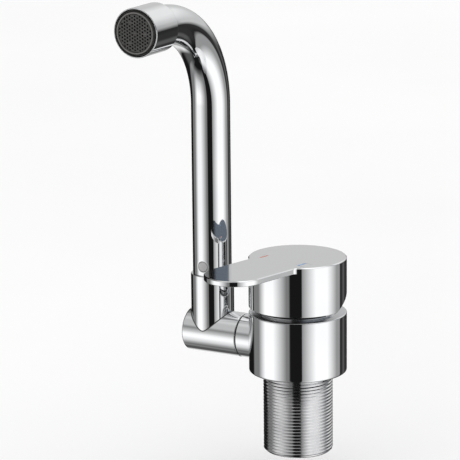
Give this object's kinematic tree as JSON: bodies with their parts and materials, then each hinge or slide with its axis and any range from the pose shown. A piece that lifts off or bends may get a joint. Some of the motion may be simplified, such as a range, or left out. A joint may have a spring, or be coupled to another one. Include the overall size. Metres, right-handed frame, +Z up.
{
  "type": "folding caravan tap",
  "caption": "Deck-mounted single-lever mixer tap with a bent spout that folds down on a side hinge, a flat-tongued lever cap, an aerator outlet and a threaded shank.",
  "frame": {"origin": "centre of the body's underside, on the shank's axis, in the plane of the worktop", "axes": "+Z up out of the worktop, -Y to the front where the outlet points, fold hinge along X on the -X side"},
  "size_m": [0.0787, 0.0876, 0.212],
  "materials": {
    "chrome": "bright mirror chrome plate",
    "plated_thread": "nickel and chrome plated cut thread",
    "bare_brass": "turned brass",
    "steel": "stainless steel",
    "seal_rubber": "black seal rubber",
    "ceramic": "lapped white ceramic",
    "cartridge_plastic": "moulded pale grey plastic",
    "housing_plastic": "moulded black plastic",
    "washer_plastic": "black low-friction plastic",
    "button_plastic": "satin grey plastic",
    "aerator_plastic": "moulded dark grey plastic",
    "hot_enamel": "red enamel inlay",
    "cold_enamel": "blue enamel inlay"
  },
  "bodies": {
    "base": {"body_shell": "chrome", "threaded_shank": "plated_thread", "deck_seal": "seal_rubber", "cartridge_base": "cartridge_plastic", "cartridge_base_seals": "seal_rubber", "fixed_ceramic_disc": "ceramic", "cartridge_housing": "housing_plastic", "cartridge_nut": "chrome", "hinge_bolt": "steel", "hinge_bolt_seals": "seal_rubber", "hinge_friction_washer": "washer_plastic"},
    "spout": {"swing_hub": "chrome", "hub_end_cap": "chrome", "spout_spigot": "bare_brass", "spigot_seals": "seal_rubber", "button_spring": "steel", "spout_tube": "chrome", "outlet_housing": "chrome", "aerator_seal": "seal_rubber", "aerator_flow_disc": "aerator_plastic", "aerator_cage": "aerator_plastic", "aerator_screen": "aerator_plastic"},
    "button": {"lock_button": "button_plastic"},
    "rotor": {"cartridge_rotor": "cartridge_plastic", "stem_pivot_pin": "steel"},
    "lever": {"lever_handle": "chrome", "cartridge_stem": "steel", "lever_grub_screw": "steel", "hot_mark": "hot_enamel", "cold_mark": "cold_enamel"},
    "valve_disc": {"moving_ceramic_disc": "ceramic", "disc_carrier": "cartridge_plastic"}
  },
  "joints": [
    {"name": "spout_fold", "type": "hinge", "parent": "base", "child": "spout", "pos_m": [-0.045, 0, 0.013], "axis": [1, 0, 0], "range_deg": [0, 90]},
    {"name": "button_press", "type": "slide", "parent": "spout", "child": "button", "axis": [0, 1, 0], "range_m": [0, 0.002], "stiffness_N_per_m": 600, "springref_m": -0.003, "deforming": ["button_spring"]},
    {"name": "lever_turn", "type": "hinge", "parent": "base", "child": "rotor", "pos_m": [0, 0, 0.0377], "axis": [0, 0, 1], "range_deg": [-37, 63]},
    {"name": "lever_lift", "type": "hinge", "parent": "rotor", "child": "lever", "pos_m": [0, 0, 0.0377], "axis": [-0.9744, 0.225, 0], "range_deg": [0, 18]},
    {"name": "disc_slide", "type": "slide", "parent": "rotor", "child": "valve_disc", "axis": [-0.225, -0.9744, 0], "range_m": [0, 0.0043]}
  ],
  "couplings": [
    {"joint": "disc_slide", "follows": "lever_lift", "m_per_rad": 0.01367}
  ]
}
